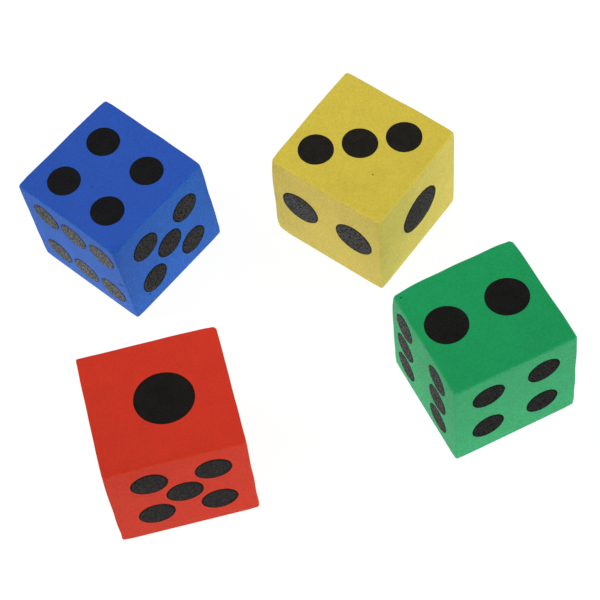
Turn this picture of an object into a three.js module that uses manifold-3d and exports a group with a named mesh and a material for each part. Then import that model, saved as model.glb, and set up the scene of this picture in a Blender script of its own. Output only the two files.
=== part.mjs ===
// Giant yard dice: a set of four soft foam dice, lying on flat ground as they were thrown.
//
// Each die is one solid block of closed-cell foam with its six faces printed with round black pips.
// The ink soaks a little way into the cut foam, so every pip is a shallow plug, flush with the face,
// in a pocket of the block. The pips of one face are printed in one pass and make one piece: they
// are held together by thin bars that run inside the foam, under an unbroken skin.
//
// Units are millimetres and +Z is up. The origin is on the ground, under the middle of the set.

import * as THREE from "three";
import { RoundedBoxGeometry } from "three/addons/geometries/RoundedBoxGeometry.js";
import { mergeVertices } from "three/addons/utils/BufferGeometryUtils.js";
import Module from "manifold-3d";

const wasm = await Module();
wasm.setup();

// ---- Foam block ----
const SIDE = 80;
const EDGE_RADIUS = 2.5;
const EDGE_SEGMENTS = 2;

// ---- Printed pips ----
const PIP_DIAMETER = { 1: 34, 2: 26.5, 3: 22, 4: 21, 5: 21, 6: 20.5 };
const CHORD = 4.2; // length of one straight side of a pip's outline
const INK_SINK = 0.05; // the ink's surface lies this far below the foam's
const INK_DEPTH = 1.5; // from the face to the bottom of the ink
const BAR_WIDTH = 1;
const BAR_THICKNESS = 0.4;
const CLEARANCE = 0.3; // between the ink and the wall of its pocket

// ---- Where the pips sit on a face ----
// Offsets from the middle of the print: along the face's own "along" direction, then across it.
const TWO_REACH = SIDE * 0.248;
const THREE_REACH = SIDE * 0.238;
const CORNER_REACH = SIDE * 0.225; // the corner pips of four and five
const SIX_ALONG = SIDE * 0.2875;
const SIX_ACROSS = SIDE * 0.2575;

const corners = (reach) => [
  [-reach, -reach],
  [-reach, reach],
  [reach, reach],
  [reach, -reach],
];

const PIPS = {
  1: [[0, 0]],
  2: [
    [-TWO_REACH, 0],
    [TWO_REACH, 0],
  ],
  3: [
    [-THREE_REACH, -THREE_REACH],
    [0, 0],
    [THREE_REACH, THREE_REACH],
  ],
  4: corners(CORNER_REACH),
  5: [...corners(CORNER_REACH), [0, 0]],
  6: [-1, 1].flatMap((row) => [-1, 0, 1].map((step) => [step * SIX_ALONG, row * SIX_ACROSS])),
};

// Which pips of a face each hidden bar joins, as places in the list above.
const BARS = {
  1: [],
  2: [[0, 1]],
  3: [[0, 2]],
  4: [
    [0, 2],
    [1, 3],
  ],
  5: [
    [0, 2],
    [1, 3],
  ],
  6: [
    [0, 2],
    [3, 5],
    [1, 4],
  ],
};

// ---- Which way each numbered face looks ----
// Opposite faces add up to seven, and one, two and three turn clockwise round their shared corner.
const FACES = {
  1: { word: "one", out: [1, 0, 0], along: [0, 1, 0] },
  2: { word: "two", out: [0, 1, 0], along: [1, 0, 0] },
  3: { word: "three", out: [0, 0, -1], along: [1, 0, 0] },
  4: { word: "four", out: [0, 0, 1], along: [1, 0, 0] },
  5: { word: "five", out: [0, -1, 0], along: [1, 0, 0] },
  6: { word: "six", out: [-1, 0, 0], along: [0, 1, 0] },
};

// ---- The thrown dice ----
// up and front are the numbers on top and towards -Y before the die is turned by its yaw, in degrees.
// x and y are where its middle lies, before the whole set is moved to its origin. misprints says how
// far the print of a face is off its place: off is [x, y, z] in mm, in the directions of the die before
// its yaw, and turn is in degrees, anticlockwise as the face is looked at. A face that isn't named is
// printed true.
const DICE = [
  {
    name: "blue",
    colour: 0x2c55b5,
    up: 4,
    front: 5,
    x: -99.8,
    y: 66.7,
    yaw: 43.3,
    misprints: {
      4: { off: [-2.3, 1, 0], turn: 0.5 },
      5: { off: [0.3, 0, -1.4], turn: -1.3 },
      6: { off: [0, -1.5, 0.2], turn: -1.1 },
    },
  },
  {
    name: "yellow",
    colour: 0xcdb83c,
    up: 3,
    front: 1,
    x: 49.9,
    y: 61.9,
    yaw: 46.6,
    misprints: {
      3: { off: [0.5, 2.3, 0], turn: -0.7 },
      2: { off: [0, -0.1, 2.5], turn: 0 },
      1: { off: [1.6, 0, 0.9], turn: 0 },
    },
  },
  {
    name: "red",
    colour: 0xc73524,
    up: 1,
    front: 5,
    x: -87.2,
    y: -97.3,
    yaw: 6,
    misprints: {
      1: { off: [2.6, 0.3, 0], turn: 0 },
      5: { off: [1.4, 0, 1], turn: -0.4 },
    },
  },
  {
    name: "green",
    colour: 0x1f9652,
    up: 2,
    front: 4,
    x: 102.7,
    y: -71.7,
    yaw: 18.6,
    misprints: {
      2: { off: [-1.8, 4.6, 0], turn: 0.2 },
      4: { off: [-0.1, 0, 2.1], turn: -0.7 },
      6: { off: [0, 3, 0.9], turn: -0.4 },
    },
  },
];
const TRUE_PRINT = { off: [0, 0, 0], turn: 0 };
const INK_COLOUR = 0x141414;

// ---- Between three.js geometries and solids ----

function solid(geometry) {
  const bare = geometry.clone();
  bare.deleteAttribute("normal");
  bare.deleteAttribute("uv");
  const merged = mergeVertices(bare, 1e-4);
  const mesh = new wasm.Mesh({
    numProp: 3,
    vertProperties: new Float32Array(merged.attributes.position.array),
    triVerts: new Uint32Array(merged.index.array),
  });
  return new wasm.Manifold(mesh);
}

function geometryOf(body) {
  const mesh = body.getMesh();
  const geometry = new THREE.BufferGeometry();
  geometry.setAttribute("position", new THREE.BufferAttribute(mesh.vertProperties, 3));
  geometry.setIndex(new THREE.BufferAttribute(mesh.triVerts, 1));
  geometry.computeVertexNormals();
  return geometry;
}

// ---- Ink ----
// A face is built flat, with its foam surface at z = 0 and the ink below it. Grow swells the shape
// on every side, which turns the ink into the pocket that holds it.

function pipSolid([along, across], diameter, grow) {
  const radius = diameter / 2 + grow;
  const top = grow ? grow : -INK_SINK;
  const bottom = -INK_DEPTH - grow;
  const sides = Math.round((Math.PI * diameter) / CHORD);
  const disc = new THREE.CylinderGeometry(radius, radius, top - bottom, sides);
  disc.rotateX(Math.PI / 2);
  disc.translate(along, across, (top + bottom) / 2);
  return solid(disc);
}

function barSolid(from, to, grow) {
  const start = new THREE.Vector2(...from);
  const run = new THREE.Vector2(...to).sub(start);
  const middle = start.addScaledVector(run, 0.5);
  const bar = new THREE.BoxGeometry(run.length(), BAR_WIDTH + 2 * grow, BAR_THICKNESS + 2 * grow);
  bar.rotateZ(run.angle());
  bar.translate(middle.x, middle.y, BAR_THICKNESS / 2 - INK_DEPTH);
  return solid(bar);
}

function faceInk(number, grow = 0) {
  const places = PIPS[number];
  const pips = places.map((place) => pipSolid(place, PIP_DIAMETER[number], grow));
  const bars = BARS[number].map(([a, b]) => barSolid(places[a], places[b], grow));
  return [...pips, ...bars].reduce((joined, piece) => joined.add(piece));
}

// The matrix that lays a flat face on its side of the block, off its place by the error of its print.
function faceMatrix(number, { off, turn }) {
  const out = new THREE.Vector3(...FACES[number].out);
  const along = new THREE.Vector3(...FACES[number].along);
  const across = out.clone().cross(along);
  const matrix = new THREE.Matrix4().makeBasis(along, across, out);
  matrix.multiply(new THREE.Matrix4().makeRotationZ(THREE.MathUtils.degToRad(turn)));
  return matrix.setPosition(out.multiplyScalar(SIDE / 2).add(off));
}

// ---- One die, centred on its own origin, with four up and five in front ----

const numbers = Object.keys(FACES);

function inkGeometry(number, print) {
  return geometryOf(faceInk(number)).applyMatrix4(faceMatrix(number, print));
}

function foamGeometry(prints) {
  const cube = solid(new RoundedBoxGeometry(SIDE, SIDE, SIDE, EDGE_SEGMENTS, EDGE_RADIUS));
  const pockets = numbers.map((number) =>
    solid(geometryOf(faceInk(number, CLEARANCE)).applyMatrix4(faceMatrix(number, prints[number]))),
  );
  return geometryOf(pockets.reduce((block, pocket) => block.subtract(pocket), cube));
}

function namedMesh(name, geometry, material) {
  const mesh = new THREE.Mesh(geometry, material);
  mesh.name = name;
  return mesh;
}

// The turn that brings one number to the top and another to the front.
function tipped(up, front) {
  const upward = new THREE.Vector3(...FACES[up].out);
  const backward = new THREE.Vector3(...FACES[front].out).negate();
  const rightward = backward.clone().cross(upward);
  const basis = new THREE.Matrix4().makeBasis(rightward, backward, upward);
  return new THREE.Quaternion().setFromRotationMatrix(basis.transpose());
}

// How every face is printed, in the directions of the die with four up and five in front.
function printsOf(misprints, dieTurn) {
  const back = dieTurn.clone().invert();
  const printOf = (number) => {
    const { off, turn } = misprints[number] ?? TRUE_PRINT;
    return { off: new THREE.Vector3(...off).applyQuaternion(back), turn };
  };
  return Object.fromEntries(numbers.map((number) => [number, printOf(number)]));
}

function makeDie({ name, colour, up, front, x, y, yaw, misprints }) {
  const foam = new THREE.MeshStandardMaterial({ color: colour, roughness: 0.9, metalness: 0 });
  const ink = new THREE.MeshStandardMaterial({ color: INK_COLOUR, roughness: 0.5, metalness: 0 });

  const die = new THREE.Group();
  die.quaternion.copy(tipped(up, front));
  const prints = printsOf(misprints, die.quaternion);
  die.add(namedMesh(`${name}_foam_block`, foamGeometry(prints), foam));
  for (const number of numbers) {
    die.add(namedMesh(`${name}_pips_${FACES[number].word}`, inkGeometry(number, prints[number]), ink));
  }

  const place = new THREE.Group();
  place.position.set(x, y, SIDE / 2);
  place.rotation.z = THREE.MathUtils.degToRad(yaw);
  place.add(die);
  return place;
}

// ---- The set, moved so that the middle of its outline is over the origin ----

const dice = new THREE.Group();
DICE.forEach((spec) => dice.add(makeDie(spec)));
dice.updateMatrixWorld(true);
const middle = new THREE.Box3().setFromObject(dice, true).getCenter(new THREE.Vector3());
dice.position.set(-middle.x, -middle.y, 0);

export default dice;
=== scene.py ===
"""Giant yard dice: the looks of four soft foam dice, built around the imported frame.

Everything is in metres, +Z up, in the frame's own place. Each die is one block of closed-cell foam,
shaped from a fine cube-shaped grid, with every pip of its print as a thin film of ink that follows the
foam. Positions, turns, pip places and pip sizes are all read from the frame.
"""

import itertools
import math

import bmesh
import bpy
import numpy as np
from mathutils import Matrix, Vector


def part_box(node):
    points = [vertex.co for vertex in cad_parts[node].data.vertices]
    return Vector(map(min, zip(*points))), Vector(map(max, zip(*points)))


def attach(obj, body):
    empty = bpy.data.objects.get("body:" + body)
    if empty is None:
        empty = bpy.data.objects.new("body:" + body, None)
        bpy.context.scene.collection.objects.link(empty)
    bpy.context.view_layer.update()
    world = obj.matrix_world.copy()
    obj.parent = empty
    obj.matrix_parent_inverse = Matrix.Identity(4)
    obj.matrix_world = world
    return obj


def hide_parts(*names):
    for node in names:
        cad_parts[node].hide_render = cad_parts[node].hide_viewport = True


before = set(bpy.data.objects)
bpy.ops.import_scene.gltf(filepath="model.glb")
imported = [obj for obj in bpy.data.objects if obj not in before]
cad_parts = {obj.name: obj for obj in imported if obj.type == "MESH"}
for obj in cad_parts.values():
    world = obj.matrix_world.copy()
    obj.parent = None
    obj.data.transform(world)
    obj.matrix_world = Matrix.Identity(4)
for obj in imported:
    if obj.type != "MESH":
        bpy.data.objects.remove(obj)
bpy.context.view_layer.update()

MM = 0.001

# ---- The four dice ----
# A die has its own right, back and top, as it is seen from its front. A corner or edge is named by the
# sides it lies on: right or left (1, -1), back or front (1, -1) and top or bottom (1, -1), with 0 for the
# direction an edge runs in. Lengths are in mm and colours are display values up to 255.
#
# back, up   the numbers that the die shows to its own back and to the sky
# size       width, depth and height as shares of the nominal side: the foam is cut by hand, so no die is
#            quite a cube
# lean       how far the top is pushed over to the right and to the back
# skew       how far out of square the footprint is
# worn       corners and edges that are rounder than the others: extra radius, and how far that reaches
# squashed   corners and edges that are pressed out of place: how far to the right, back and up, and how
#            far that reaches. An edge is pressed most at its middle.
# skin       colour of the top and bottom faces
# cut        colour of the four sides
# ink        colour of the print
# seed       starts the random draws of the foam's waves and the ink's outlines
# painted_shading  painted light and shade: how much brighter the foam is painted from the die's middle to
# its right, back and top side
# grain      how mottled the foam is
# flecks     how strongly the foam's cells show in the ink
# edge       how much brighter the foam is painted along its edges: a painted highlight
# specks     the biggest open cells, with painted shade in them: x, y, z and radius, from the middle of the die
DICE = {
    "blue": dict(
        back="two", up="four",
        size=(1.0, 1.004, 0.997), lean=(-3.7, 1.4), skew=0.016,
        worn={
            (-1, 1, 1): (1.3, 10), (-1, -1, 1): (3.0, 14), (-1, -1, 0): (1.2, 20),
            (0, -1, 1): (0.7, 20),
        },
        squashed={},
        skin=(40, 87, 187), cut=(27, 96, 194), ink=(33, 33, 36), seed=3,
        painted_shading=(0.025, -0.014, -0.035), grain=1.3, flecks=1.0, edge=0.05,
        specks=[(-13, 2, 40, 0.5), (-40, -35.5, -2.8, 1.2), (-25.8, -40, -28.6, 0.9)],
    ),
    "yellow": dict(
        back="six", up="three",
        size=(0.998, 1.028, 0.990), lean=(-1.2, -3.1), skew=0.018,
        worn={
            (-1, 1, 1): (1.5, 10), (-1, -1, 0): (1.6, 20), (-1, 0, 1): (0.8, 20),
            (0, -1, 1): (0.7, 20), (-1, 1, -1): (2.6, 11),
        },
        squashed={(-1, 0, 1): ((-0.9, 0, 0), 14), (0, -1, 1): ((0, -0.55, 0), 14)},
        skin=(214, 193, 68), cut=(214, 196, 86), ink=(45, 43, 37), seed=11,
        painted_shading=(0.022, 0.030, 0.025), grain=0.8, flecks=1.0, edge=0.11,
        specks=[],
    ),
    "red": dict(
        back="two", up="one",
        size=(1.037, 0.985, 1.010), lean=(0.5, 1.7), skew=-0.011,
        worn={(1, 1, 1): (1.3, 10), (-1, 1, 1): (0.2, 10), (0, -1, 1): (1.8, 20)},
        squashed={(0, -1, 1): ((0, 0.75, 0), 14)},
        skin=(208, 49, 26), cut=(213, 48, 13), ink=(35, 33, 29), seed=23,
        painted_shading=(0.028, 0.029, 0.021), grain=0.55, flecks=0.7, edge=0.02,
        specks=[],
    ),
    "green": dict(
        back="three", up="two",
        size=(0.995, 0.956, 0.994), lean=(0.0, 0.4), skew=-0.011,
        worn={
            (-1, 1, 1): (1.8, 14), (1, 1, 1): (2.0, 13), (1, -1, 1): (0.2, 8), (-1, 0, 1): (0.4, 20),
            (0, -1, 1): (0.8, 20),
        },
        squashed={(-1, 1, 1): ((0.1, -1.1, -0.5), 30), (-1, 0, 1): ((0.55, 0, 0), 14)},
        skin=(18, 156, 89), cut=(54, 174, 111), ink=(33, 34, 30), seed=37,
        painted_shading=(-0.003, 0.045, -0.026), grain=0.95, flecks=1.0, edge=0.05,
        specks=[(-35.9, 35.5, 40, 0.6)],
    ),
}
WORDS = ["one", "two", "three", "four", "five", "six"]

# ---- Shape of the foam ----
GRID = 72  # cells along one side of a block
GRID_CROWDING = 0.78  # how much closer together the grid lines are towards the edges
TOP_EDGE_RADIUS = 1.0 * MM
BOTTOM_EDGE_RADIUS = 0.6 * MM
CORNER_EXTRA = (0.8, 8)  # every corner's extra radius and reach, in mm, unless it is worn
WAVE_HEIGHT = 0.09 * MM
WAVE_LENGTHS = (14 * MM, 45 * MM)  # the shortest and the longest
WAVE_COUNT = 9
WAVE_HOLD = 4  # the waves of a side fade below it by this power of the distance from the middle
GROUND_CALM = 6 * MM  # the waves die away over this height above the ground

# ---- Shape of the ink ----
INK_HEIGHT = 0.10 * MM
INK_ROOT = 0.25 * MM  # how deep the film's underside is set in the foam
INK_RINGS = (0.12, 0.24, 0.36, 0.48, 0.60, 0.71, 0.81, 0.89, 0.94, 0.97, 0.99)  # shares of the radius
INK_EDGE_HEIGHT = 0.6 * INK_HEIGHT
INK_ROOT_SHARE = 1.002  # radius of the film's root as a share of the pip's
INK_SIDES = 72
INK_WOBBLE = 0.10 * MM
INK_WOBBLE_BEATS = (2, 3, 5, 9, 14)  # how many times each wave of the outline repeats

# ---- Reading the frame ----
FACES_THAT_WAY = 0.9  # least cosine between a way and a polygon that faces it
SAME_POINT = 0.001 * MM
SAME_PLANE = 0.1 * MM

# ---- Look of the foam ----
NOISE_RANGE = (0.3, 0.7)  # nearly all values of one noise lie in here
CLOUD_SIZES = (30 * MM, 11 * MM)
CLOUD_RANGE = (0.7, 1.3)  # nearly all sums of the two cloud noises lie in here
CLOUD_SHADE = 0.035
MOTTLE_SIZE = 1.4 * MM
MOTTLE_SHADES = (0.10, 0.17)  # on the skin and on the cut sides, at a grain of 1
PINHOLE_SPACING = 11 * MM
PINHOLE_CHANCE = 0.10  # how many of the places for a pinhole have one
PINHOLE_SLOPE = (0.05, 0.022)  # from its edge to where it is darkest, as shares of the spacing
SPECK_SLOPE = (1.0, 0.5)  # the same for a speck, as shares of its radius
# Painted shade in the pinholes and specks: its colour, and how much of the foam's colour it covers.
PAINTED_HOLE_SHADE_COLOUR = (20, 20, 22)
PAINTED_HOLE_SHADE = 0.5
HOLE_DEPTH = 4.0  # as a share of the height of the foam's grain
CELL_SIZE = 0.55 * MM
CELL_HEIGHT = 0.35  # as a share of the height of the foam's grain
GRAIN_SIZE = 1.1 * MM
GRAIN_HEIGHT = 0.45 * MM
FOAM_ROUGHNESS = 0.72
FOAM_SHINE = (0.35, 0.28)  # on the faces and on the edges
FOAM_IOR = 1.45

# ---- Look of the ink ----
INK_RIM = (0.86, 0.94)  # where the plain rim begins and where it is whole, as shares of the radius
INK_SHADES = (0.90, 0.74)  # lightest and darkest, as shares of the ink's colour
INK_CLOUD_SIZE = 6 * MM
INK_IOR = 1.5
FLECK_SIZE = 1.0 * MM
FLECK_RANGE = (0.40, 0.60)  # noise values that give the dullest and the brightest fleck
FLECK_HEIGHT = 0.7 * MM
FLECK_BUMP = (0.65, 1.0)  # how strong the flecks' bump is on the skin and on the cut sides
FLECK_ROUGHNESS = (0.52, 0.34)  # of the dullest and the brightest fleck
DULL_SHINE = (0.2, 0.0)  # shine of the dullest fleck on the skin and on the cut sides
BRIGHT_SHINE = (0.5, 1.25)  # and of the brightest
RIM_SHINE = 0.08  # shine of the rim as a share of the rest

# ---- Stage ----
# A white light table under a pale studio dome: the floor glows, so it shows white with next to no shadow,
# and it lights the sides of the dice as the dome and three soft boxes light their tops.
FLOOR_SIZE = 6.0
FLOOR_DROP = 0.1 * MM
FLOOR_PAINT = 0.12  # the floor's own reflectance
FLOOR_GRAIN_SIZE = 60 * MM
FLOOR_GRAIN = (0.95, 1.05)  # darkest and lightest, as shares of its reflectance
FLOOR_SEEN = 0.93  # its glow, as the camera sees it
FLOOR_LIGHT = 1.50  # its glow as light on the dice, under the middle of the set
FLOOR_LIGHT_FAR = 0.40  # the same, FLOOR_FADE or more away from the middle
FLOOR_FADE = 0.9
# Its glow as the dice mirror it: under the middle of the set, more per metre of x and y, and more for
# light that leaves the floor towards +x.
MIRRORED_MIDDLE = 0.39
MIRRORED_PER_X = -0.38
MIRRORED_PER_Y = 1.41
MIRRORED_TO_RIGHT = 0.43
MIRRORED_RANGE = (0.04, 1.3)
# A brighter patch of it: its middle, how much brighter it is there and how far it reaches.
PATCH_MIDDLE = (-0.146, 0.021, 0.0)
PATCH_GLOW = 0.68
PATCH_REACH = 0.083
# The dome's brightness as the camera sees it, as light on the dice and as they mirror it.
DOME_SEEN = 1.0
DOME_LIGHT = 0.57
DOME_MIRRORED = 0.09
# The soft boxes: place and watts.
SOFT_BOXES = {
    "left_box": ((-1.1, 0.4, 1.0), 6.5),
    "right_box": ((1.1, -0.35, 0.9), 6.1),
    "front_box": ((0.0, -1.1, 1.1), 2.0),
}
SOFT_BOX_WIDTH = 1.0

# ---- Camera ----
CAMERA_AIM = Vector((1.35, 14.8, 0.0)) * MM
CAMERA_DISTANCE = 1.270
CAMERA_DEPRESSION = math.radians(58.6)
CAMERA_ROLL = math.radians(-8.47)
CAMERA_LENS = 121.86  # in mm, as is the sensor
CAMERA_SENSOR = 36.0


# ---- One die: how the frame holds it, and how its foam is shaped ----


def outward(node, middle):
    """The direction a printed face looks in: the way its ink's surface points."""
    low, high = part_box(node.name)
    towards = ((low + high) / 2 - middle).normalized()
    total = Vector()
    for polygon in node.data.polygons:
        if polygon.normal.dot(towards) > FACES_THAT_WAY:
            total += polygon.normal * polygon.area
    return total.normalized()


class Die:
    """One die as the frame holds it, and the soft shape its foam is given here."""

    def __init__(self, name, spec):
        self.name = name
        self.body = f"{name}_die"
        self.spec = spec
        low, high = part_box(f"{name}_foam_block")
        self.middle = (low + high) / 2
        self.half = (high.z - low.z) / 2
        self.out = {word: np.array(outward(self.print_node(word), self.middle)) for word in WORDS}
        back, up = self.out[spec["back"]], self.out[spec["up"]]
        self.axes = np.array([np.cross(back, up), back, up])
        self.waves = self.make_waves(np.random.default_rng(spec["seed"]))

    def print_node(self, word):
        """The frame's node of one face's pips."""
        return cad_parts[f"{self.name}_pips_{word}"]

    def make_waves(self, rng):
        """Slow swells of the cut foam: for each side's direction, the vectors and phases of its waves."""
        lengths = rng.uniform(*WAVE_LENGTHS, (3, WAVE_COUNT, 1))
        ways = rng.normal(size=(3, WAVE_COUNT, 3))
        ways /= np.linalg.norm(ways, axis=2, keepdims=True)
        phases = rng.uniform(0, 2 * math.pi, (3, WAVE_COUNT))
        return ways * 2 * math.pi / lengths, phases

    def local(self, world):
        """Points of the world in the die's own directions, from its middle."""
        return (np.asarray(world) - np.array(self.middle)) @ self.axes.T

    def world(self, local):
        """Points in the die's own directions, put back in the world."""
        return local @ self.axes + np.array(self.middle)

    def nearness(self, points, sides, reach):
        """1 at a corner or all along an edge, falling smoothly to 0 at its reach."""
        sides = np.array(sides)
        gap = np.linalg.norm((points - sides * self.half) * np.abs(sides), axis=1)
        return np.clip(1 - (gap / (reach * MM)) ** 2, 0, 1) ** 3

    def edge_radius(self, points):
        """How round the foam is near each point: softer at the top, softer still where it is worn.

        The wear of an upright edge dies away towards the ground.
        """
        height = (points[:, 2] / self.half + 1) / 2
        radius = BOTTOM_EDGE_RADIUS + (TOP_EDGE_RADIUS - BOTTOM_EDGE_RADIUS) * height
        corners = dict.fromkeys(itertools.product((-1, 1), repeat=3), CORNER_EXTRA)
        for sides, (extra, reach) in (corners | self.spec["worn"]).items():
            wear = extra * MM * self.nearness(points, sides, reach)
            radius += wear if sides[2] else wear * height
        return radius

    def rounded(self, points):
        """Points on the sharp cube moved onto its rounded edges and corners, and the way each faces."""
        radius = self.edge_radius(points)[:, None]
        core = np.clip(points, radius - self.half, self.half - radius)
        away = points - core
        facing = away / np.linalg.norm(away, axis=1, keepdims=True)
        return core + radius * facing, facing

    def swell(self, points):
        """The slow waves of the foam's surface, calm near the ground so that the die lies flat."""
        vectors, phases = self.waves
        heights = np.sin(np.einsum("pi,awi->paw", points, vectors) + phases).sum(axis=2)
        heights *= WAVE_HEIGHT / math.sqrt(WAVE_COUNT / 2)
        calm = np.clip((points[:, 2:] + self.half) / GROUND_CALM, 0, 1)
        return heights * calm * (np.abs(points) / self.half) ** WAVE_HOLD

    def squash(self, points):
        """How far each point is pressed out of place."""
        push = np.zeros_like(points)
        for sides, (way, reach) in self.spec["squashed"].items():
            bow = 1 - (points / self.half * (np.array(sides) == 0)) ** 2
            amount = self.nearness(points, sides, reach) * bow.prod(axis=1)
            push += amount[:, None] * np.array(way) * MM
        return push

    def hand_cut(self, points):
        """Points of the true cube moved to fit the block's own size, lean and skew."""
        width, depth, height = self.spec["size"]
        lean = np.array(self.spec["lean"]) * MM
        skew = self.spec["skew"]
        x, y, z = points.T
        up = (z / self.half + 1) / 2
        right = x * width + skew * y + lean[0] * up
        back = y * depth + lean[1] * up
        return np.stack([right, back, (z + self.half) * height - self.half], axis=1)

    def shape(self, points):
        """Where the foam's surface is for points on the sharp cube, in the world."""
        soft = self.rounded(points)[0] + self.swell(points) + self.squash(points)
        return self.world(self.hand_cut(soft))

    def pip_discs(self, word):
        """The middle and radius of every pip of a printed face: the islands of its outermost plane."""
        out = Vector(self.out[word])
        bm = bmesh.new()
        bm.from_mesh(self.print_node(word).data)
        bmesh.ops.remove_doubles(bm, verts=bm.verts, dist=SAME_POINT)
        bm.verts.index_update()
        outermost = max(vert.co.dot(out) for vert in bm.verts)
        surface = {
            face for face in bm.faces
            if min(vert.co.dot(out) for vert in face.verts) > outermost - SAME_PLANE
        }
        discs = []
        while surface:
            island = [surface.pop()]
            corners = set()
            for face in island:
                corners.update(face.verts)
                joined = {near for edge in face.edges for near in edge.link_faces} & surface
                surface -= joined
                island.extend(joined)
            # In a fixed order, so that the sum is rounded the same way in every run.
            ordered = sorted(corners, key=lambda vert: vert.index)
            middle = sum((vert.co for vert in ordered), Vector()) / len(ordered)
            discs.append((middle, max((vert.co - middle).length for vert in ordered)))
        bm.free()
        return sorted(discs, key=lambda disc: tuple(np.round(self.local(disc[0]), 3)))


# ---- Pieces ----


def new_piece(name, points, faces, body, material):
    """A smooth mesh that rides on one of the frame's bodies."""
    mesh = bpy.data.meshes.new(name)
    mesh.from_pydata(points, [], faces)
    mesh.validate()
    mesh.polygons.foreach_set("use_smooth", [True] * len(mesh.polygons))
    mesh.materials.append(material)
    piece = bpy.data.objects.new(name, mesh)
    bpy.context.scene.collection.objects.link(piece)
    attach(piece, body)
    return piece


def mark(piece, name, values):
    """Store one number for each point of a piece, for its material to read."""
    piece.data.attributes.new(name, "FLOAT", "POINT").data.foreach_set("value", values)


def grid_lines():
    """Places of the grid lines from -1 to 1, crowded towards both ends."""
    even = np.linspace(-1, 1, GRID + 1)
    return (1 - GRID_CROWDING) * even + GRID_CROWDING * np.sin(even * math.pi / 2)


def cube_shell():
    """The points and faces of a finely divided cube from -1 to 1, one closed skin."""
    lines = grid_lines()
    index = {}
    points = []

    def at(i, j, k):
        if (i, j, k) not in index:
            index[i, j, k] = len(points)
            points.append((lines[i], lines[j], lines[k]))
        return index[i, j, k]

    faces = []
    for axis in range(3):
        for end in (0, GRID):
            for a in range(GRID):
                for b in range(GRID):
                    ring = [(a, b), (a + 1, b), (a + 1, b + 1), (a, b + 1)]
                    if end == 0:
                        ring.reverse()
                    faces.append([at(*np.roll((end, *cell), axis)) for cell in ring])
    return np.array(points), faces


def foam_block(die, shell, material):
    """The foam of one die. Its edge mark is 0 on a flat side and 1 halfway round an edge."""
    points, faces = shell
    sharp = points * die.half
    piece = new_piece(f"{die.name}_foam", die.shape(sharp), faces, die.body, material)
    facing = die.rounded(sharp)[1] ** 2
    mark(piece, "cut_face", 1 - facing[:, 2])
    mark(piece, "edge", 2 - 2 * facing.max(axis=1))
    # Painted light and shade: a slow brightening and darkening of the foam towards some sides of each
    # die.
    mark(piece, "painted_shading", points @ np.array(die.spec["painted_shading"]))
    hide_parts(f"{die.name}_foam_block")


def film_rings(radius, rng):
    """Rings of an ink film from its middle over its rim to its root: turns, radii and heights."""
    turns = np.arange(INK_SIDES) * 2 * math.pi / INK_SIDES
    uneven = sum(np.sin(turns * beat + rng.uniform(0, 2 * math.pi)) / beat for beat in INK_WOBBLE_BEATS)
    profile = [(share, INK_HEIGHT) for share in INK_RINGS]
    profile += [(1.0, INK_EDGE_HEIGHT), (INK_ROOT_SHARE, -INK_ROOT)]
    radii = np.array([share * (radius + INK_WOBBLE * uneven) for share, _ in profile])
    heights = np.repeat([height for _, height in profile], INK_SIDES)
    return turns, radii, heights


def film_faces():
    """The faces of a film: a fan at its middle, bands between its rings and a fan underneath."""
    rings = len(INK_RINGS) + 2  # with the film's edge and its root
    first = [1 + ring * INK_SIDES for ring in range(rings)]
    last = 1 + rings * INK_SIDES
    faces = []
    for side in range(INK_SIDES):
        after = (side + 1) % INK_SIDES
        faces.append([0, first[0] + side, first[0] + after])
        faces += [[a + side, b + side, b + after, a + after] for a, b in zip(first, first[1:])]
        faces.append([last, first[-1] + after, first[-1] + side])
    return faces


def ink_film(die, word, place, disc, material):
    """One pip: a closed film of ink lying on the foam, with a slightly uneven outline."""
    middle, radius = np.array(disc[0]), disc[1]
    # The face looks along one of the die's axes, and the axis before that one lies in the face.
    facing = int(np.argmax(np.abs(die.axes @ die.out[word])))
    along = die.axes[facing - 1]
    across = np.cross(die.out[word], along)
    rng = np.random.default_rng([die.spec["seed"], WORDS.index(word), place])
    turns, radii, heights = film_rings(radius, rng)
    rings = radii[..., None] * (np.outer(np.cos(turns), along) + np.outer(np.sin(turns), across))
    spread = np.concatenate([[[0, 0, 0]], rings.reshape(-1, 3), [[0, 0, 0]]])
    heights = np.concatenate([[INK_HEIGHT], heights, [-INK_ROOT]])

    local = die.local(middle + spread)
    local[:, facing] = math.copysign(die.half, local[0, facing])
    points = die.shape(local) + np.outer(heights, die.out[word])
    piece = new_piece(f"{die.name}_pip_{word}_{place}", points, film_faces(), die.body, material)
    mark(piece, "rim", np.linalg.norm(spread, axis=1) / radius)
    mark(piece, "cut_face", np.full(len(points), 1 - die.out[word][2] ** 2))
    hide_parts(f"{die.name}_pips_{word}")


# ---- Materials ----


def rgba(display):
    """A display colour of three values up to 255 as the linear colour that materials use."""
    shares = [value / 255 for value in display]
    linear = [s / 12.92 if s <= 0.04045 else ((s + 0.055) / 1.055) ** 2.4 for s in shares]
    return (*linear, 1.0)


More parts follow.
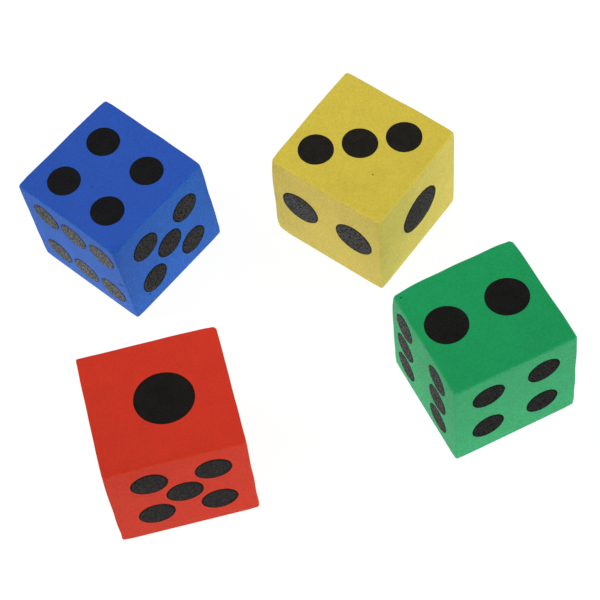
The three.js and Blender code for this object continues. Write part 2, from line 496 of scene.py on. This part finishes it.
class Nodes:
    """A short way to write the node tree of a material, or of the world."""

    def __init__(self, owner, output="ShaderNodeOutputMaterial"):
        owner.use_nodes = True
        self.tree = owner.node_tree
        self.tree.nodes.clear()
        self.output = self.tree.nodes.new(output)

    def add(self, kind, inputs=(), **settings):
        """A new node. An input is a plain value or another node's output."""
        node = self.tree.nodes.new(kind)
        for key, value in settings.items():
            setattr(node, key, value)
        for key, value in dict(inputs).items():
            self.feed(node.inputs[key], value)
        return node

    def feed(self, socket, value):
        """Give an input a plain value, or link another node's output to it."""
        if isinstance(value, bpy.types.NodeSocket):
            self.tree.links.new(value, socket)
        else:
            socket.default_value = value

    def show(self, shader):
        """Make a shader the surface of the material or of the world."""
        self.feed(self.output.inputs["Surface"], shader.outputs[0])

    def place(self):
        """Where each point of the surface is, in metres."""
        return self.add("ShaderNodeTexCoord").outputs["Object"]

    def attribute(self, name):
        """The number that mark stored under this name."""
        return self.add("ShaderNodeAttribute", attribute_name=name).outputs["Fac"]

    def math(self, operation, a, b=0.0):
        return self.add("ShaderNodeMath", {0: a, 1: b}, operation=operation).outputs[0]

    def distance(self, a, b):
        return self.add("ShaderNodeVectorMath", {0: a, 1: b}, operation="DISTANCE").outputs["Value"]

    def remap(self, value, low, high, to_low=0.0, to_high=1.0, **settings):
        """A value that runs from low to high, made to run from to_low to to_high and no further."""
        inputs = {"Value": value, "From Min": low, "From Max": high, "To Min": to_low, "To Max": to_high}
        return self.add("ShaderNodeMapRange", inputs, **settings).outputs["Result"]

    def between(self, share, at_none, at_all):
        """One number where a share is 0, another where it is 1, and in between evenly."""
        return self.remap(share, 0.0, 1.0, at_none, at_all)

    def pick(self, choice, if_no, if_yes):
        """One number when choice is 0, another when it is 1."""
        return self.add("ShaderNodeMix", {0: choice, 2: if_no, 3: if_yes}, data_type="FLOAT").outputs[0]

    def mix(self, factor, a, b):
        """A blend of two colours."""
        return self.add("ShaderNodeMix", {0: factor, 6: a, 7: b}, data_type="RGBA").outputs[2]

    def noise(self, where, size, detail=2.0, roughness=0.5):
        inputs = {"Vector": where, "Scale": 1 / size, "Detail": detail, "Roughness": roughness}
        return self.add("ShaderNodeTexNoise", inputs).outputs["Fac"]

    def bump(self, height, distance, strength=1.0):
        inputs = {"Strength": strength, "Distance": distance, "Height": height}
        return self.add("ShaderNodeBump", inputs).outputs["Normal"]


def foam_shade(n, where, cut_face, edge, spec):
    """How bright the foam is: clouds and mottling, with a painted highlight along its edges and painted
    light and shade that change slowly over the die.
    """
    clouds = n.math("ADD", n.noise(where, CLOUD_SIZES[0]), n.noise(where, CLOUD_SIZES[1], detail=1.0))
    clouds = n.remap(clouds, *CLOUD_RANGE, -CLOUD_SHADE, CLOUD_SHADE)
    mottle = n.remap(n.noise(where, MOTTLE_SIZE, roughness=0.8), *NOISE_RANGE, -1.0, 1.0)
    depth = n.between(cut_face, *(shade * spec["grain"] for shade in MOTTLE_SHADES))
    shade = n.math("ADD", n.math("ADD", 1.0, clouds), n.math("MULTIPLY", mottle, depth))
    # Painted highlight: the foam is painted brighter along its rounded edges.
    shade = n.math("ADD", shade, n.math("MULTIPLY", edge, spec["edge"]))
    # Painted light and shade, slowly changing over the die.
    return n.math("ADD", shade, n.attribute("painted_shading"))


def foam_holes(n, where, die):
    """1 in the foam's pinholes and biggest open cells, 0 around them: where their painted shade and a dip
    in the bump go.
    """
    places = n.add("ShaderNodeTexVoronoi", {"Vector": where, "Scale": 1 / PINHOLE_SPACING})
    number = n.add("ShaderNodeSeparateColor", {0: places.outputs["Color"]}).outputs[0]
    chosen = n.math("LESS_THAN", number, PINHOLE_CHANCE)
    holes = n.math("MULTIPLY", n.remap(places.outputs["Distance"], *PINHOLE_SLOPE), chosen)
    for *place, radius in die.spec["specks"]:
        middle = die.shape(np.array([place]) * MM)[0]
        slope = [share * radius * MM for share in SPECK_SLOPE]
        holes = n.math("MAXIMUM", n.remap(n.distance(where, middle), *slope), holes)
    return holes


def foam_material(die):
    """Cut closed-cell foam: matte, faintly mottled, with fine cells, a few pinholes filled with painted
    shade, a painted highlight along its edges and painted light and shade over each die.
    """
    material = bpy.data.materials.new(f"{die.name}_foam")
    n = Nodes(material)
    where = n.place()
    cut_face = n.attribute("cut_face")
    edge = n.attribute("edge")
    holes = foam_holes(n, where, die)

    colour = n.mix(cut_face, rgba(die.spec["skin"]), rgba(die.spec["cut"]))
    shade = foam_shade(n, where, cut_face, edge, die.spec)
    colour = n.add("ShaderNodeVectorMath", {0: colour, "Scale": shade}, operation="SCALE").outputs[0]
    # Painted shade: the pinholes and specks are painted dark, as their hollows would be in shade.
    colour = n.mix(n.math("MULTIPLY", holes, PAINTED_HOLE_SHADE), colour, rgba(PAINTED_HOLE_SHADE_COLOUR))

    cells = n.add("ShaderNodeTexVoronoi", {"Vector": where, "Scale": 1 / CELL_SIZE}).outputs["Distance"]
    grain = n.noise(where, GRAIN_SIZE, detail=3.0, roughness=0.6)
    height = n.math("ADD", n.math("MULTIPLY", cells, CELL_HEIGHT), grain)
    height = n.math("SUBTRACT", height, n.math("MULTIPLY", holes, HOLE_DEPTH))

    n.show(n.add("ShaderNodeBsdfPrincipled", {
        "Base Color": colour,
        "Roughness": FOAM_ROUGHNESS,
        "IOR": FOAM_IOR,
        "Specular IOR Level": n.between(edge, *FOAM_SHINE),
        "Normal": n.bump(height, GRAIN_HEIGHT),
    }))
    return material


def ink_material(die):
    """Black screen ink: nearly black face on, grey and flecked by the foam's cells at a low angle."""
    material = bpy.data.materials.new(f"{die.name}_ink")
    n = Nodes(material)
    where = n.place()
    cut_face = n.attribute("cut_face")
    rim = n.remap(n.attribute("rim"), *INK_RIM)
    light, dark = (rgba([share * value for value in die.spec["ink"]]) for share in INK_SHADES)
    colour = n.mix(n.remap(n.noise(where, INK_CLOUD_SIZE), *NOISE_RANGE), light, dark)

    spread = die.spec["flecks"] / 2
    flecks = n.remap(n.noise(where, FLECK_SIZE, detail=3.0, roughness=0.7), *FLECK_RANGE)
    flecks = n.between(flecks, 0.5 - spread, 0.5 + spread)
    shine = n.between(flecks, n.between(cut_face, *DULL_SHINE), n.between(cut_face, *BRIGHT_SHINE))
    height = n.math("MULTIPLY", flecks, n.math("SUBTRACT", 1.0, rim))

    n.show(n.add("ShaderNodeBsdfPrincipled", {
        "Base Color": colour,
        "Roughness": n.between(flecks, *FLECK_ROUGHNESS),
        "IOR": INK_IOR,
        "Specular IOR Level": n.math("MULTIPLY", shine, n.between(rim, 1.0, RIM_SHINE)),
        "Normal": n.bump(height, FLECK_HEIGHT, n.between(cut_face, *FLECK_BUMP)),
    }))
    return material


def mirrored_glow(n, where):
    """How bright the floor is where the dice mirror it."""
    place = n.add("ShaderNodeSeparateXYZ", {0: where})
    leaving = n.add("ShaderNodeSeparateXYZ", {0: n.add("ShaderNodeNewGeometry").outputs["Incoming"]})
    parts = [
        (place.outputs[0], MIRRORED_PER_X),
        (place.outputs[1], MIRRORED_PER_Y),
        (leaving.outputs[0], MIRRORED_TO_RIGHT),
    ]
    glow = MIRRORED_MIDDLE
    for amount, share in parts:
        glow = n.math("ADD", n.math("MULTIPLY", amount, share), glow)
    gap = n.distance(where, PATCH_MIDDLE)
    patch = n.remap(gap, PATCH_REACH, 0.0, 0.0, PATCH_GLOW, interpolation_type="SMOOTHSTEP")
    least, most = MIRRORED_RANGE
    return n.math("MINIMUM", n.math("MAXIMUM", n.math("ADD", glow, patch), least), most)


def floor_material():
    """White paint that glows, differently to the camera, as light and in a mirror."""
    material = bpy.data.materials.new("pale_floor")
    n = Nodes(material)
    where = n.place()
    away = n.add("ShaderNodeVectorMath", {0: where}, operation="LENGTH").outputs["Value"]
    light = n.remap(away, 0.0, FLOOR_FADE, FLOOR_LIGHT, FLOOR_LIGHT_FAR)
    ray = n.add("ShaderNodeLightPath")
    glow = n.pick(ray.outputs["Is Glossy Ray"], light, mirrored_glow(n, where))
    glow = n.pick(ray.outputs["Is Camera Ray"], glow, FLOOR_SEEN)
    grain = n.remap(n.noise(where, FLOOR_GRAIN_SIZE), *NOISE_RANGE, *FLOOR_GRAIN)
    paint = n.add("ShaderNodeBsdfDiffuse", {"Color": n.math("MULTIPLY", grain, FLOOR_PAINT)})
    lamp = n.add("ShaderNodeEmission", {"Strength": glow})
    n.show(n.add("ShaderNodeAddShader", {0: paint.outputs[0], 1: lamp.outputs[0]}))
    material.cycles.emission_sampling = "NONE"
    return material


# ---- Making the scene ----


def make_die(name, spec, shell):
    """One die: its foam block and all its pips."""
    die = Die(name, spec)
    foam_block(die, shell, foam_material(die))
    ink = ink_material(die)
    for word in WORDS:
        for place, disc in enumerate(die.pip_discs(word), start=1):
            ink_film(die, word, place, disc, ink)


def make_floor():
    """A wide flat floor just under the dice."""
    size = FLOOR_SIZE / 2
    mesh = bpy.data.meshes.new("floor")
    corners = [(-size, -size), (size, -size), (size, size), (-size, size)]
    mesh.from_pydata([(x, y, -FLOOR_DROP) for x, y in corners], [], [range(4)])
    mesh.materials.append(floor_material())
    floor = bpy.data.objects.new("floor", mesh)
    bpy.context.scene.collection.objects.link(floor)


def make_world():
    """Even white studio surroundings, dim where a surface would mirror them."""
    world = bpy.data.worlds.new("studio")
    n = Nodes(world, "ShaderNodeOutputWorld")
    ray = n.add("ShaderNodeLightPath")
    glow = n.pick(ray.outputs["Is Glossy Ray"], DOME_LIGHT, DOME_MIRRORED)
    glow = n.pick(ray.outputs["Is Camera Ray"], glow, DOME_SEEN)
    n.show(n.add("ShaderNodeBackground", {"Color": (1, 1, 1, 1), "Strength": glow}))
    world.cycles.sampling_method = "NONE"
    bpy.context.scene.world = world


def make_soft_box(name, place, power):
    """A round soft box aimed at the set. The dice mirror only the floor and the dome, not the box."""
    light = bpy.data.lights.new(name, "AREA")
    light.shape = "DISK"
    light.size = SOFT_BOX_WIDTH
    light.energy = power
    lamp = bpy.data.objects.new(name, light)
    lamp.location = place
    lamp.rotation_euler = (-Vector(place)).to_track_quat("-Z", "Y").to_euler()
    lamp.visible_glossy = False
    bpy.context.scene.collection.objects.link(lamp)


def make_camera():
    """A long lens that looks steeply down on the set, turned a little about its own line of sight."""
    data = bpy.data.cameras.new("camera")
    data.lens = CAMERA_LENS
    data.sensor_width = CAMERA_SENSOR
    camera = bpy.data.objects.new("camera", data)
    tilt = Matrix.Rotation(math.pi / 2 - CAMERA_DEPRESSION, 4, "X")
    turn = tilt @ Matrix.Rotation(CAMERA_ROLL, 4, "Z")
    back = turn.to_3x3() @ Vector((0, 0, 1))
    camera.matrix_world = Matrix.Translation(CAMERA_AIM + back * CAMERA_DISTANCE) @ turn
    bpy.context.scene.collection.objects.link(camera)
    bpy.context.scene.camera = camera


shell = cube_shell()
for name, spec in DICE.items():
    make_die(name, spec, shell)
make_floor()
make_world()
for name, (place, power) in SOFT_BOXES.items():
    make_soft_box(name, place, power)
make_camera()
bpy.context.scene.view_settings.view_transform = "Standard"
